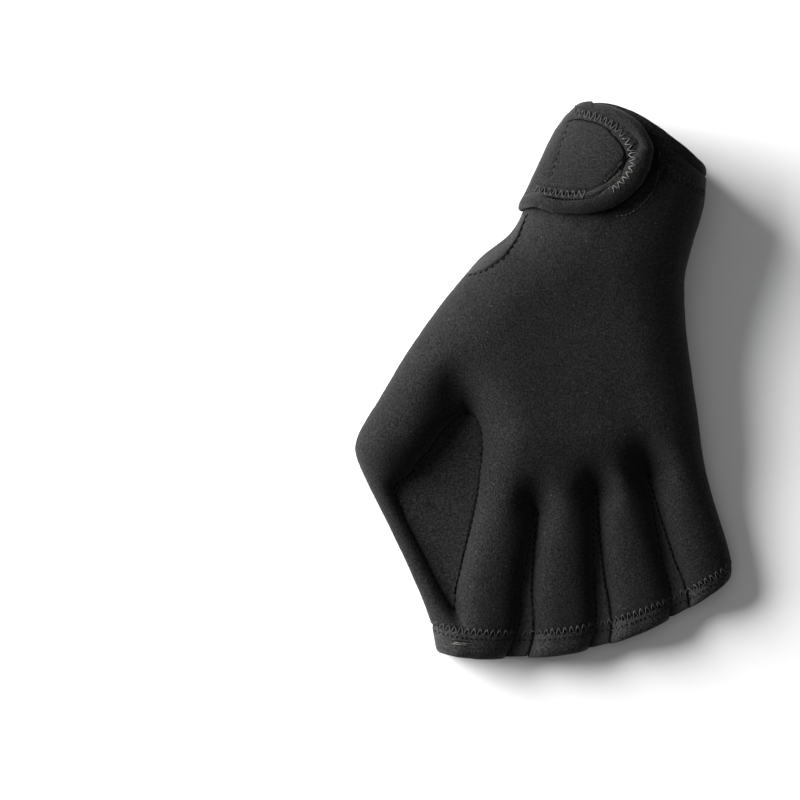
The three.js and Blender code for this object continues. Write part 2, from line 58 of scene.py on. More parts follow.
def jersey_material(name, dark, light, nap=0.06):
    """Jersey facing: knitted loops as speckle and bump, slow changes of tone, and lint."""
    material = bpy.data.materials.new(name)
    material.use_nodes = True
    nodes = material.node_tree.nodes
    links = material.node_tree.links
    shader = nodes["Principled BSDF"]
    shader.inputs["Sheen Weight"].default_value = nap
    shader.inputs["Sheen Roughness"].default_value = 0.45
    shader.inputs["Specular IOR Level"].default_value = 0.12
    place = nodes.new("ShaderNodeTexCoord")

    loops_place = nodes.new("ShaderNodeMapping")
    loops_place.inputs["Scale"].default_value = [1 / size for size in STITCH_LOOP]
    loops = nodes.new("ShaderNodeTexNoise")
    loops.inputs["Scale"].default_value = 1
    loops.inputs["Detail"].default_value = 2
    links.new(place.outputs["Object"], loops_place.inputs["Vector"])
    links.new(loops_place.outputs["Vector"], loops.inputs["Vector"])

    tone = nodes.new("ShaderNodeTexNoise")
    tone.inputs["Scale"].default_value = 1 / TONE_PATCH
    tone.inputs["Detail"].default_value = 3
    links.new(place.outputs["Object"], tone.inputs["Vector"])

    yarn = nodes.new("ShaderNodeValToRGB")
    yarn.color_ramp.elements[0].position = 0.37
    yarn.color_ramp.elements[0].color = dark
    yarn.color_ramp.elements[1].position = 0.66
    yarn.color_ramp.elements[1].color = light
    links.new(loops.outputs["Fac"], yarn.inputs["Fac"])

    worn = nodes.new("ShaderNodeMix")
    worn.data_type = "RGBA"
    worn.blend_type = "MULTIPLY"
    worn.inputs["B"].default_value = (0.7, 0.7, 0.71, 1)
    links.new(tone.outputs["Fac"], worn.inputs["Factor"])
    links.new(yarn.outputs["Color"], worn.inputs["A"])

    lint = nodes.new("ShaderNodeTexVoronoi")
    lint.inputs["Scale"].default_value = 1 / LINT_SPACING
    links.new(place.outputs["Object"], lint.inputs["Vector"])
    speck = nodes.new("ShaderNodeMapRange")
    speck.inputs["From Min"].default_value = 0.09
    speck.inputs["From Max"].default_value = 0.04
    links.new(lint.outputs["Distance"], speck.inputs["Value"])
    linted = nodes.new("ShaderNodeMix")
    linted.data_type = "RGBA"
    linted.inputs["B"].default_value = LINT
    links.new(speck.outputs["Result"], linted.inputs["Factor"])
    links.new(worn.outputs["Result"], linted.inputs["A"])
    links.new(linted.outputs["Result"], shader.inputs["Base Color"])

    rough = nodes.new("ShaderNodeMapRange")
    rough.inputs["To Min"].default_value = 0.78
    rough.inputs["To Max"].default_value = 0.95
    links.new(tone.outputs["Fac"], rough.inputs["Value"])
    links.new(rough.outputs["Result"], shader.inputs["Roughness"])

    bump = nodes.new("ShaderNodeBump")
    bump.inputs["Strength"].default_value = 0.9
    bump.inputs["Distance"].default_value = 0.00024
    links.new(loops.outputs["Fac"], bump.inputs["Height"])
    links.new(bump.outputs["Normal"], shader.inputs["Normal"])
    return material


# The back and palm panels are neoprene 2.5 mm thick, cut to the hand and sewn edge to edge round its side
# seam and along the webs. Pressed to the shape of a hand, they stand up as half tubes over the fingers and
# thumb. Their edges meet so closely in the side seam that no light comes through it.
CUT_EDGE = math.radians(48)
QUAD_ANGLE = math.radians(75)
WELD = 0.00002
EDGE_CREASE = 0.55
SWELL = 0.00032
SWELL_LENGTH = 0.021
PUCKER = 0.00010
PUCKER_LENGTH = 0.0055
SEAM_CLOSING = 0.0004


def soft_copy(node, name, levels=2, crease=EDGE_CREASE):
    """A subdivided copy of a node's mesh in faces of four sides, its cut edges only a little rounded."""
    bpy.ops.object.select_all(action="DESELECT")
    piece = bpy.data.objects.new(name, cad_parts[node].data.copy())
    bpy.context.collection.objects.link(piece)
    bpy.context.view_layer.objects.active = piece
    piece.select_set(True)
    bpy.ops.object.mode_set(mode="EDIT")
    bpy.ops.mesh.select_all(action="SELECT")
    bpy.ops.mesh.remove_doubles(threshold=WELD)
    bpy.ops.mesh.tris_convert_to_quads(face_threshold=QUAD_ANGLE, shape_threshold=QUAD_ANGLE)
    bpy.ops.mesh.select_all(action="DESELECT")
    bpy.ops.mesh.select_mode(type="EDGE")
    bpy.ops.mesh.edges_select_sharp(sharpness=CUT_EDGE)
    bpy.ops.transform.edge_crease(value=crease)
    bpy.ops.object.mode_set(mode="OBJECT")
    smooth = piece.modifiers.new("soft", "SUBSURF")
    smooth.levels = levels
    smooth.render_levels = levels
    bpy.ops.object.modifier_apply(modifier=smooth.name)
    bpy.ops.object.shade_smooth()
    return piece


def vertex_table(piece, what):
    """The piece's vertices ("co") or their normals ("normal") as rows of three numbers."""
    table = np.zeros(len(piece.data.vertices) * 3, np.float32)
    if what == "co":
        piece.data.vertices.foreach_get("co", table)
    else:
        piece.data.vertex_normals.foreach_get("vector", table)
    return table.reshape(-1, 3).astype(float)


def place_vertices(piece, table):
    """Puts the piece's vertices where the table's rows say."""
    piece.data.vertices.foreach_set("co", table.astype(np.float32).ravel())
    piece.data.update()


def swell(piece, amount=1.0):
    """Moves the cloth in and out by slow, small amounts, so that it isn't ruler smooth."""
    spots = vertex_table(piece, "co")
    normals = vertex_table(piece, "normal")
    for i, (place, normal) in enumerate(zip(spots, normals)):
        slow = noise.noise(Vector(place) / SWELL_LENGTH)
        quick = noise.noise(Vector(place) / PUCKER_LENGTH)
        spots[i] = place + normal * amount * (SWELL * slow + PUCKER * quick)
    spots[:, 2] = np.maximum(spots[:, 2], 0)
    place_vertices(piece, spots)


def close_seam(piece, way, reach):
    """Moves the faces that look the given way out to the piece they are sewn to, so that the edges meet."""
    way = np.array(way) / np.linalg.norm(way)
    facing = np.clip(vertex_table(piece, "normal") @ way, 0, 1)
    place_vertices(piece, vertex_table(piece, "co") + reach * facing[:, None] * way)


def finish_piece(piece, material, node):
    """Gives a piece its material, and lets it stand for its node."""
    piece.data.materials.clear()
    piece.data.materials.append(material)
    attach(piece, "root")
    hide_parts(node)


neoprene = jersey_material("neoprene", JERSEY_DARK, JERSEY_LIGHT)
back = soft_copy("back_panel", "back_of_hand")
close_seam(back, (0, 0, -1), SEAM_CLOSING)
swell(back)
finish_piece(back, neoprene, "back_panel")
palm = soft_copy("palm_panel", "palm")
close_seam(palm, (0, 0, 1), SEAM_CLOSING)
swell(palm)
finish_piece(palm, neoprene, "palm_panel")


# The dimples where the grooves between the fingers run out above the webs, and the one above the thumb web:
# there the neoprene is drawn down to the seam's end, and eases up to the back of the hand. A place read off
# the photograph is given in its pixels: one is PHOTO_PIXEL wide at the height PHOTO_PLANE, PHOTO_MIDDLE lies
# over the frame's origin, and the camera looked down from PHOTO_EYE.
PHOTO_PIXEL = 0.000395
PHOTO_MIDDLE = (544.5, 381)
PHOTO_EYE = (-0.05708, -0.0075, 1.52)
PHOTO_PLANE = 0.02


def spot(px, py, height=PHOTO_PLANE):
    """The place in the frame, at some height, of a pixel of the photograph."""
    flat = np.array([(px - PHOTO_MIDDLE[0]) * PHOTO_PIXEL, (PHOTO_MIDDLE[1] - py) * PHOTO_PIXEL])
    eye = np.array(PHOTO_EYE[:2])
    return eye + (flat - eye) * (PHOTO_EYE[2] - height) / (PHOTO_EYE[2] - PHOTO_PLANE)


def curve(pixels, steps=6):
    """A smooth line through some pixels of the photograph."""
    points = np.array([pixels[0], *pixels, pixels[-1]], float)
    line = []
    for before, start, end, after in zip(points, points[1:], points[2:], points[3:]):
        slope = end - before
        bend = 2 * before - 5 * start + 4 * end - after
        twist = 3 * start - before - 3 * end + after
        for share in np.arange(steps) / steps:
            line.append(start + (slope * share + bend * share ** 2 + twist * share ** 3) / 2)
    return [*line, points[-1]]


DIMPLES = [
    {
        "web": "finger_web_1", "middle": (535, 503), "along": (0.3, 1),
        "length": 0.008, "width": 0.006, "depth": 0.5,
    },
    {
        "web": "finger_web_2", "middle": (597, 492), "along": (0.1, 1),
        "length": 0.008, "width": 0.006, "depth": 0.5,
    },
    {
        "web": "finger_web_3", "middle": (649, 472), "along": (-0.3, 1),
        "length": 0.011, "width": 0.007, "depth": 0.62,
    },
    {
        "web": "thumb_web", "middle": (460, 396), "along": (-0.3, 1),
        "length": 0.012, "width": 0.009, "depth": 0.42,
    },
]


def press_dimples(piece):
    """Lowers the cloth towards the top of each web, most in the middle of its dimple."""
    spots = vertex_table(piece, "co")
    for dimple in DIMPLES:
        floor_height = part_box(dimple["web"])[1][2]
        lengthwise = np.array(dimple["along"]) / np.hypot(*dimple["along"])
        crosswise = np.array([lengthwise[1], -lengthwise[0]])
        away = spots[:, :2] - spot(*dimple["middle"])
        far = (away @ lengthwise / dimple["length"]) ** 2 + (away @ crosswise / dimple["width"]) ** 2
        press = dimple["depth"] * np.exp(-far)
        above = np.maximum(spots[:, 2] - floor_height, 0)
        spots[:, 2] -= above * press
    place_vertices(piece, spots)


press_dimples(back)


# The webs are flat panels of the same neoprene, let in between the thumb and the index finger, and between
# the fingers. They are sewn in all round, so that they lie tight between the rounded channels. Towards the
# finger mouths the finger webs rise a little, to lie more level with the hems.
web_neoprene = jersey_material("web_neoprene", (0.0035, 0.0035, 0.0037, 1), (0.024, 0.024, 0.025, 1))
# The finger webs get a paler copy of the neoprene as painted light: they lie deep between the finger
# channels, and the paler colour stands in for the light that reaches them there.
finger_web_painted_light_neoprene = jersey_material(
    "finger_web_painted_light_neoprene", (0.013, 0.013, 0.0135, 1), (0.031, 0.031, 0.032, 1)
)
WEB_RISE = 0.0015
WEB_TUCK = 0.0010
SIDE_LIMIT = 0.8
WEBS = {
    "thumb_web": "thumb_web_panel",
    "finger_web_1": "index_middle_web",
    "finger_web_2": "middle_ring_web",
    "finger_web_3": "ring_little_web",
}


def web_rise(node, spots):
    """How much higher a finger web lies at each spot."""
    low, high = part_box(node)
    share = np.clip((high[1] - spots[:, 1]) / (high[1] - low[1]), 0, 1)
    return np.zeros(len(spots)) if node == "thumb_web" else WEB_RISE * share


def tuck_sides(piece, reach, ways=(1, 1)):
    """Moves the piece's upright sides out, in X and Y or one of them, to lie tight in their seams."""
    spots = vertex_table(piece, "co")
    normals = vertex_table(piece, "normal")
    upright = np.clip(1 - np.abs(normals[:, 2]) / SIDE_LIMIT, 0, 1)
    spots[:, :2] += normals[:, :2] * np.array(ways) * (reach * upright)[:, None]
    place_vertices(piece, spots)


web_pieces = []
for node, name in WEBS.items():
    thumb = node == "thumb_web"
    web = soft_copy(node, name, levels=3 if thumb else 2, crease=0.8 if thumb else 0.5)
    tuck_sides(web, WEB_TUCK, ways=(1, 1) if thumb else (1, 0))
    spots = vertex_table(web, "co")
    spots[:, 2] += web_rise(node, spots)
    place_vertices(web, spots)
    swell(web, 0.6)
    finish_piece(web, web_neoprene if thumb else finger_web_painted_light_neoprene, node)
    web_pieces.append(web)


# At the finger mouths and round the cuff the neoprene is turned in and sewn down, so that the hem is a
# little thicker than the panel and rolls over at its edge. The finger hems get a paler copy of the neoprene:
# partly the hem band's own lighter look, partly painted light for the light that their flatter flanks catch.
hem_neoprene_with_painted_light = jersey_material("hem_neoprene_with_painted_light", (0.006, 0.006, 0.0062, 1), (0.034, 0.034, 0.035, 1))
HEM_TUCK = 0.0009
TOWARDS_HAND = (-0.57, -0.82, 0)
CUFF_CLOSING = 0.0013
FINGERS = ("index", "middle", "ring", "little")
hem_pieces = []
for finger in FINGERS:
    hem = soft_copy(f"{finger}_hem", f"{finger}_mouth_hem", crease=0.3)
    tuck_sides(hem, HEM_TUCK, ways=(0, 1))
    swell(hem, 1.2)
    finish_piece(hem, hem_neoprene_with_painted_light, f"{finger}_hem")
    hem_pieces.append(hem)
cuff = soft_copy("cuff_hem", "cuff_edge_hem", crease=0.3)
close_seam(cuff, TOWARDS_HAND, CUFF_CLOSING)
swell(cuff, 1.2)
finish_piece(cuff, neoprene, "cuff_hem")


# The pieces are sewn with polyester thread. A stitch is a short arch of thread whose ends go into the cloth.
# The webs are sewn in all round with a running stitch, in thread as dark as the cloth.
THREAD_RADIUS = 0.00021
THREAD_SIDES = 6
THREAD_ARCH = (-0.9, 0.4, 0.8, 0.4, -0.9)
THREAD_TAPER = (0.7, 1, 1, 1, 0.7)
LAY_FROM = 0.0007


def thread_material(name, colour, edge, shine):
    """Twisted polyester thread, paler in some stitches than in others; shine is its highlight."""
    material = bpy.data.materials.new(name)
    material.use_nodes = True
    nodes = material.node_tree.nodes
    links = material.node_tree.links
    shader = nodes["Principled BSDF"]
    shader.inputs["Roughness"].default_value = 0.7
    shader.inputs["Specular IOR Level"].default_value = shine
    place = nodes.new("ShaderNodeTexCoord")
    fibres = nodes.new("ShaderNodeTexNoise")
    fibres.inputs["Scale"].default_value = 700
    tint = nodes.new("ShaderNodeValToRGB")
    tint.color_ramp.elements[0].position = 0.35
    tint.color_ramp.elements[0].color = edge
    tint.color_ramp.elements[1].position = 0.65
    tint.color_ramp.elements[1].color = colour
    bump = nodes.new("ShaderNodeBump")
    bump.inputs["Strength"].default_value = 0.4
    bump.inputs["Distance"].default_value = 0.00008
    links.new(place.outputs["Object"], fibres.inputs["Vector"])
    links.new(fibres.outputs["Fac"], tint.inputs["Fac"])
    links.new(tint.outputs["Color"], shader.inputs["Base Color"])
    links.new(fibres.outputs["Fac"], bump.inputs["Height"])
    links.new(bump.outputs["Normal"], shader.inputs["Normal"])
    return material


thread = thread_material("sewing_thread", (0.05, 0.05, 0.051, 1), (0.016, 0.016, 0.017, 1), 0.2)
faint_thread = thread_material("faint_thread", (0.024, 0.024, 0.024, 1), (0.009, 0.009, 0.009, 1), 0.15)
# Near-black thread: the seams' own thread, and also painted shade where it is laid as needle holes, the
# bartack's slot and the line along the strap's D.
dark_thread_and_shade = thread_material("seam_thread_and_shade", (0.002, 0.002, 0.002, 1), (0.0008, 0.0008, 0.0008, 1), 0.04)
pale_thread = thread_material("pale_thread", (0.11, 0.107, 0.099, 1), (0.032, 0.031, 0.028, 1), 0.3)


def surface_of(pieces):
    """One search tree over several pieces, to lay stitches on them."""
    corners = []
    faces = []
    for piece in pieces:
        start = len(corners)
        corners += [vertex.co.copy() for vertex in piece.data.vertices]
        faces += [[start + corner for corner in face.vertices] for face in piece.data.polygons]
    return BVHTree.FromPolygons(corners, faces)


def seen(surface, pixels):
    """The places on the surface that the photograph shows along a smooth line of pixels."""
    eye = Vector(PHOTO_EYE)
    ways = [Vector((*spot(*pixel), PHOTO_PLANE)) - eye for pixel in curve(pixels)]
    found = [surface.ray_cast(eye, way.normalized())[0] for way in ways]
    return [place for place in found if place]


def laid(surface, place, seen_from=None):
    """The nearest point of the surface and the way it faces, or the first point met from above or below."""
    if seen_from is None:
        found = surface.find_nearest(place)
        return found[0], found[1]
    start = Vector((place[0], place[1], 0.1 * seen_from))
    upright = Vector((0, 0, seen_from))
    return surface.ray_cast(start, -upright)[0], upright


def stitch(surface, start, end, up, lift=0.0):
    """A stitch from start to end, as points laid on the cloth, and the way the cloth faces."""
    last = len(THREAD_ARCH) - 1
    points = []
    for k in range(last + 1):
        place, _ = laid(surface, start.lerp(end, k / last) + up * LAY_FROM)
        points.append(place + up * lift)
    return points, up


def stitches_mesh(name, stitches, material, radius=THREAD_RADIUS, arches=THREAD_ARCH):
    """All the stitches of a seam as one mesh of arches of thread, pressed flat where the glove rests."""
    corners = []
    faces = []
    for points, up in stitches:
        way = (points[-1] - points[0]).normalized()
        side = up.cross(way).normalized()
        lift = way.cross(side)
        first = len(corners)
        for point, arch, taper in zip(points, arches, THREAD_TAPER):
            for j in range(THREAD_SIDES):
                turn = 2 * math.pi * j / THREAD_SIDES
                around = taper * (side * math.cos(turn) + lift * math.sin(turn))
                corner = point + radius * (up * arch + around)
                corners.append((corner.x, corner.y, max(corner.z, 0)))
        for k in range(len(points) - 1):
            for j in range(THREAD_SIDES):
                here = first + k * THREAD_SIDES + j
                beside = first + k * THREAD_SIDES + (j + 1) % THREAD_SIDES
                faces.append((here, beside, beside + THREAD_SIDES, here + THREAD_SIDES))
        last = first + (len(points) - 1) * THREAD_SIDES
        faces.append(tuple(first + j for j in reversed(range(THREAD_SIDES))))
        faces.append(tuple(last + j for j in range(THREAD_SIDES)))
    mesh = bpy.data.meshes.new(name)
    mesh.from_pydata(corners, [], faces)
    mesh.polygons.foreach_set("use_smooth", [True] * len(mesh.polygons))
    seam = bpy.data.objects.new(name, mesh)
    bpy.context.collection.objects.link(seam)
    mesh.materials.append(material)
    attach(seam, "root")
    return seam


def line_length(line):
    """The length of a line of straight stretches."""
    return sum(math.dist(start, end) for start, end in zip(line, line[1:]))


def even_points(line, count):
    """So many points along a line, at even distances."""
    spots = np.array([tuple(point) for point in line], float)
    lengths = np.concatenate([[0], np.cumsum(np.linalg.norm(np.diff(spots, axis=0), axis=1))])
    marks = np.linspace(0, lengths[-1], count)
    return [Vector([np.interp(mark, lengths, column) for column in spots.T]) for mark in marks]


def even_steps(line, pitch):
    """Points along a line, one pitch apart."""
    return even_points(line, max(2, round(line_length(line) / pitch) + 1))


def cut_loops(node):
    """The closed loops that a node's cut edges make, each a list of points in order."""
    mesh = bmesh.new()
    mesh.from_mesh(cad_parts[node].data)
    bmesh.ops.remove_doubles(mesh, verts=mesh.verts, dist=WELD)
    mesh.edges.index_update()
    sharp = {edge.index: edge for edge in mesh.edges if edge.calc_face_angle(0) > CUT_EDGE}
    loops = []
    while sharp:
        edge = sharp.pop(min(sharp))
        loop = [edge.verts[0], edge.verts[1]]
        onward = [edge]
        while onward:
            onward = [near for near in loop[-1].link_edges if near.index in sharp]
            if onward:
                edge = sharp.pop(min(near.index for near in onward))
                loop.append(edge.other_vert(loop[-1]))
        loops.append([vertex.co.copy() for vertex in loop])
    mesh.free()
    return loops


def stretches(loop, kept):
    """The parts of a closed loop whose points are kept, each an open line."""
    flags = [kept(point) for point in loop]
    if all(flags):
        return [loop]
    first = flags.index(False)
    parts = [[]]
    for k in range(1, len(loop)):
        point = loop[(first + k) % len(loop)]
        if kept(point):
            parts[-1].append(point)
        else:
            parts.append([])
    return [part for part in parts if len(part) > 2]


def along(line, k, seen_from):
    """The way that a line goes at its point k, level where the line is seen from above or below."""
    way = Vector(line[min(len(line) - 1, k + 1)]) - Vector(line[max(0, k - 1)])
    return Vector((way[0], way[1], 0)) if seen_from else way


def running(surface, line, pitch, share, seen_from=None, aside=0.0, lift=0.0):
    """A running stitch along a line, or aside of it: each stitch covers a share of the pitch."""
    made = []
    steps = even_steps(line, pitch / 2)
    for k in range(1, len(steps), 2):
        place, up = laid(surface, steps[k], seen_from)
        if place is None:
            continue
        way = along(steps, k, seen_from).normalized()
        middle = place + up.cross(way).normalized() * aside
        reach = way * pitch * share / 2
        made.append(stitch(surface, middle - reach, middle + reach, up, lift))
    return made


def zigzag(surface, line, pitch, width, seen_from=None):
    """A zigzag along a line that is laid on the surface, with its turns on the surface too."""
    legs = []
    previous = None
    steps = even_steps(line, pitch)
    for k, middle in enumerate(steps):
        place, up = laid(surface, middle, seen_from)
        if place is None:
            previous = None
            continue
        across = up.cross(along(steps, k, seen_from)).normalized() * width / 2
        turn = place + across * (1 if k % 2 else -1)
        point = laid(surface, turn, seen_from)[0] or turn
        if previous is not None:
            legs.append(stitch(surface, previous, point, up))
        previous = point
    return legs


glove_surface = surface_of([back, palm, *web_pieces, *hem_pieces, cuff])
WEB_PITCH = 0.0027
WEB_STITCH_SHARE = 0.62
SEAM_THREAD_RADIUS = 0.00026
FINGER_WEB_THREAD_RADIUS = 0.00019
WEB_SEAM_END = 0.004
for node, name in WEBS.items():
    mouth = -math.inf if node == "thumb_web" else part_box(node)[0][1] + WEB_SEAM_END
    made = []
    for loop in cut_loops(node):
        rise = web_rise(node, np.array(loop))
        loop = [point + Vector((0, 0, more)) for point, more in zip(loop, rise)]
        for line in stretches(loop, lambda point: point.y > mouth):
            made += running(glove_surface, line, WEB_PITCH, WEB_STITCH_SHARE)
    radius = SEAM_THREAD_RADIUS if node == "thumb_web" else FINGER_WEB_THREAD_RADIUS
    stitches_mesh(f"{name}_stitches", made, dark_thread_and_shade, radius)


# The finger hems are held by one zigzag round the whole fringe, over the fingers and the webs, with a row of
# needle holes on its mouth side. A needle hole is a dot of near-black thread sunk nearly level with the
# cloth, as painted shade of the hole.
ZIG_PITCH = 0.0013
ZIG_WIDTH = 0.0032
HOLE_PITCH = 0.0019
HOLES_BELOW = 0.0029
HOLE_SHARE = 0.4
HOLE_RADIUS = 0.0004
HOLE_ARCH = (-0.9, -0.2, 0, -0.2, -0.9)
SEAM_OVER_PANEL = 0.0005


def panel_side(node):
    """A hem's outer cut line where it meets the panels."""
    loops = cut_loops(node)
    middle = np.mean([point.y for loop in loops for point in loop])
    far = [loop for loop in loops if np.mean([point.y for point in loop]) > middle]
    return max(far, key=line_length)[:-1]


def upper_and_lower(loop):
    """The two halves of a closed loop, each from its thumb-side end to the other."""
    first = min(range(len(loop)), key=lambda i: loop[i].x)
    loop = loop[first:] + loop[:first]
    last = max(range(len(loop)), key=lambda i: loop[i].x)
    halves = [loop[:last + 1], [loop[0]] + loop[last:][::-1]]
    return sorted(halves, key=lambda half: -np.mean([point.z for point in half]))


hem_halves = [upper_and_lower(panel_side(f"{finger}_hem")) for finger in FINGERS]
for which, side, name in ((0, 1, "back"), (1, -1, "palm")):
    seam = [(point.x, point.y + SEAM_OVER_PANEL) for halves in hem_halves for point in halves[which]]
    legs = zigzag(glove_surface, seam, ZIG_PITCH, ZIG_WIDTH, seen_from=side)
    stitches_mesh(f"{name}_hem_zigzag", legs, thread)
    holes = running(glove_surface, seam, HOLE_PITCH, HOLE_SHARE, seen_from=side, aside=-side * HOLES_BELOW)
    stitches_mesh(f"{name}_hem_needle_holes", holes, dark_thread_and_shade, HOLE_RADIUS, HOLE_ARCH)


# The bartack that ends the hem's thread at the index finger: long stitches of paler thread under a dark slot,
# the slot a strand of near-black thread as painted shade.
BARTACK = {"from": (450, 641), "to": (472, 643), "spread": 0.0006, "shift": 0.0008, "radius": 0.00028}
BARTACK_STRANDS_AND_SLOT_SHADE = [dark_thread_and_shade, pale_thread, pale_thread]
for k, material in enumerate(BARTACK_STRANDS_AND_SLOT_SHADE):
    shift = np.array([BARTACK["shift"] * (k % 2), -k * BARTACK["spread"]])
    start, up = laid(glove_surface, spot(*BARTACK["from"]) + shift, 1)
    end, _ = laid(glove_surface, spot(*BARTACK["to"]) + shift, 1)
    strand = [stitch(glove_surface, start, end, up)]
    stitches_mesh(f"bartack_{k + 1}", strand, material, radius=BARTACK["radius"])


# The edge of the thumb side slit is turned out into a narrow band, held by a dashed line along its inner
# side. The band's paler neoprene is partly its own lighter face and partly painted highlight for the light
# its puffy roll catches. The cuff hem has a faint zigzag, with dark needle holes: dots of near-black thread
# as painted shade of the holes.
slit_neoprene_with_painted_highlight = jersey_material("slit_neoprene_with_painted_highlight", (0.009, 0.009, 0.0093, 1), (0.0255, 0.0255, 0.0262, 1))
SLIT_LINE = [
    (468, 275), (485, 270), (494, 264), (505, 256), (513, 245), (518, 237), (521, 229), (526, 216),
]
SLIT_EDGE = [
    (467, 268), (477, 260), (487, 254), (497, 247), (505, 242), (511, 235), (516, 226), (519, 214),
]
SLIT_STEPS = 40
SLIT_SECTION = [
    {"across": 0, "height": -0.0002},
    {"across": 0.08, "height": 0.0005},
    {"across": 0.3, "height": 0.0009},
    {"across": 0.6, "height": 0.0009},
    {"across": 0.85, "height": 0.0005},
    {"across": 1, "height": -0.0002},
]
DRAW_IN = 0.95
SLIT_PITCH = 0.0028
SLIT_STITCH_SHARE = 0.72


def laid_band(name, surface, inner, outer, section, steps, material):
    """A thin band of cloth laid between two lines on the glove, or up to where the glove ends."""
    corners = []
    for start, end in zip(even_points(inner, steps + 1), even_points(outer, steps + 1)):
        while laid(surface, end, 1)[0] is None:
            end = start.lerp(end, DRAW_IN)
        for row in section:
            place, up = laid(surface, start.lerp(end, row["across"]), 1)
            corners.append(place + up * row["height"])
    wide = len(section)
    faces = []
    for k in range(steps):
        for c in range(wide - 1):
            here = k * wide + c
            faces.append((here, here + wide, here + wide + 1, here + 1))
    mesh = bpy.data.meshes.new(name)
    mesh.from_pydata([tuple(corner) for corner in corners], [], faces)
    mesh.polygons.foreach_set("use_smooth", [True] * len(faces))
    band = bpy.data.objects.new(name, mesh)
    bpy.context.collection.objects.link(band)
    mesh.materials.append(material)
    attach(band, "root")
    return band


slit_edge = [Vector((*spot(*pixel), 0)) for pixel in curve(SLIT_EDGE)]
slit_points = seen(glove_surface, SLIT_LINE)
slit_band = laid_band(
    "turned_slit_edge", glove_surface, slit_points, slit_edge, SLIT_SECTION, SLIT_STEPS, slit_neoprene_with_painted_highlight
)
slit_surface = surface_of([back, slit_band])
dashes = running(slit_surface, slit_points, SLIT_PITCH, SLIT_STITCH_SHARE, seen_from=1)
stitches_mesh("slit_stitches", dashes, dark_thread_and_shade, radius=SEAM_THREAD_RADIUS)

CUFF_LINE = [(662, 160), (673, 172), (692, 185), (706, 192)]
CUFF_ZIG_PITCH = 0.0014
CUFF_ZIG_WIDTH = 0.003
CUFF_HOLES_BELOW = 0.0017
NEEDLE_SHARE = 0.2
cuff_points = seen(glove_surface, CUFF_LINE)
legs = zigzag(glove_surface, cuff_points, CUFF_ZIG_PITCH, CUFF_ZIG_WIDTH, seen_from=1)
stitches_mesh("cuff_zigzag", legs, faint_thread)
holes = running(
    glove_surface, cuff_points, 2 * CUFF_ZIG_PITCH, NEEDLE_SHARE, seen_from=1, aside=-CUFF_HOLES_BELOW
)
stitches_mesh("cuff_needle_holes", holes, dark_thread_and_shade, HOLE_RADIUS, HOLE_ARCH)


# The strap closes the cuff over the back of the wrist. Its loop pad, a crescent of brushed pile, is sewn to
# the cuff, and shows only past the strap's end; the hook pad under the strap's end grips it.
# The pile is near black of its own, and darker still as painted shade of the strap's shadow that falls on it.
pile = jersey_material("loop_pile", (0.0001, 0.0001, 0.0001, 1), (0.0016, 0.0016, 0.0016, 1), nap=0.01)
PAD_SHOWS_FROM = 614
PAD_FADE = 16
PAD_SINK = 0.0018
loop_pad = soft_copy("loop_pad", "loop_crescent", levels=3, crease=0.7)
swell(loop_pad, 0.5)
spots = vertex_table(loop_pad, "co")
hidden = np.clip((spot(PAD_SHOWS_FROM, 0)[0] - spots[:, 0]) / (PAD_FADE * PHOTO_PIXEL), 0, 1)
spots[:, 2] -= PAD_SINK * hidden
place_vertices(loop_pad, spots)
finish_piece(loop_pad, pile, "loop_pad")


# The hook pad is one plain piece of moulded hook tape, hidden under the strap's end.
hook_plastic = bpy.data.materials.new("hook_plastic")
hook_plastic.use_nodes = True
hook_nodes = hook_plastic.node_tree.nodes
hook_links = hook_plastic.node_tree.links
hook_shader = hook_nodes["Principled BSDF"]
hook_shader.inputs["Roughness"].default_value = 0.55
hook_place = hook_nodes.new("ShaderNodeTexCoord")
hook_rows = hook_nodes.new("ShaderNodeTexVoronoi")
hook_rows.inputs["Scale"].default_value = 900
hook_tint = hook_nodes.new("ShaderNodeValToRGB")
hook_tint.color_ramp.elements[0].color = (0.03, 0.03, 0.031, 1)
hook_tint.color_ramp.elements[1].color = (0.008, 0.008, 0.009, 1)
hook_bump = hook_nodes.new("ShaderNodeBump")
hook_bump.inputs["Distance"].default_value = 0.0003
hook_links.new(hook_place.outputs["Object"], hook_rows.inputs["Vector"])
hook_links.new(hook_rows.outputs["Distance"], hook_tint.inputs["Fac"])
hook_links.new(hook_tint.outputs["Color"], hook_shader.inputs["Base Color"])
hook_links.new(hook_rows.outputs["Distance"], hook_bump.inputs["Height"])
hook_links.new(hook_bump.outputs["Normal"], hook_shader.inputs["Normal"])
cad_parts["hook_pad"].data.materials.clear()
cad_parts["hook_pad"].data.materials.append(hook_plastic)


# The strap is a flat band of neoprene with a rolled rim. Its face is sewn down inside the rim by a zigzag,
# and a crisp line in the shape of a D shows where the face's edge lies. At the left it folds flat over the
# glove's edge, and its round end is drawn to the photograph's outline and lies close on the cuff.
strap_neoprene = jersey_material("strap_neoprene", (0.003, 0.003, 0.0032, 1), (0.0168, 0.0168, 0.0174, 1))
strap = soft_copy("wrist_strap", "strap_field", levels=3)
rim = soft_copy("strap_binding", "strap_rolled_rim", levels=3, crease=0.1)
EDGE_ROLL = 0.0008
EDGE_ROLL_WIDTH = 0.0025
ROLLS_UNDER = 0.4
FACE_TUCK = 0.0015
STRAP_LEFT = [
    (578, 102), (567, 112), (557, 126), (549, 141), (537, 168),
    (527, 189), (521, 200), (518, 210), (517, 218),
]
LEFT_ROUNDING = 0.0016
SETTLES_FROM = 535
SETTLE_WIDTH = 0.010
STRAP_SETTLE = 0.0012
STRAP_MIDDLE = (590, 160)
STRAP_HEIGHT = 0.042
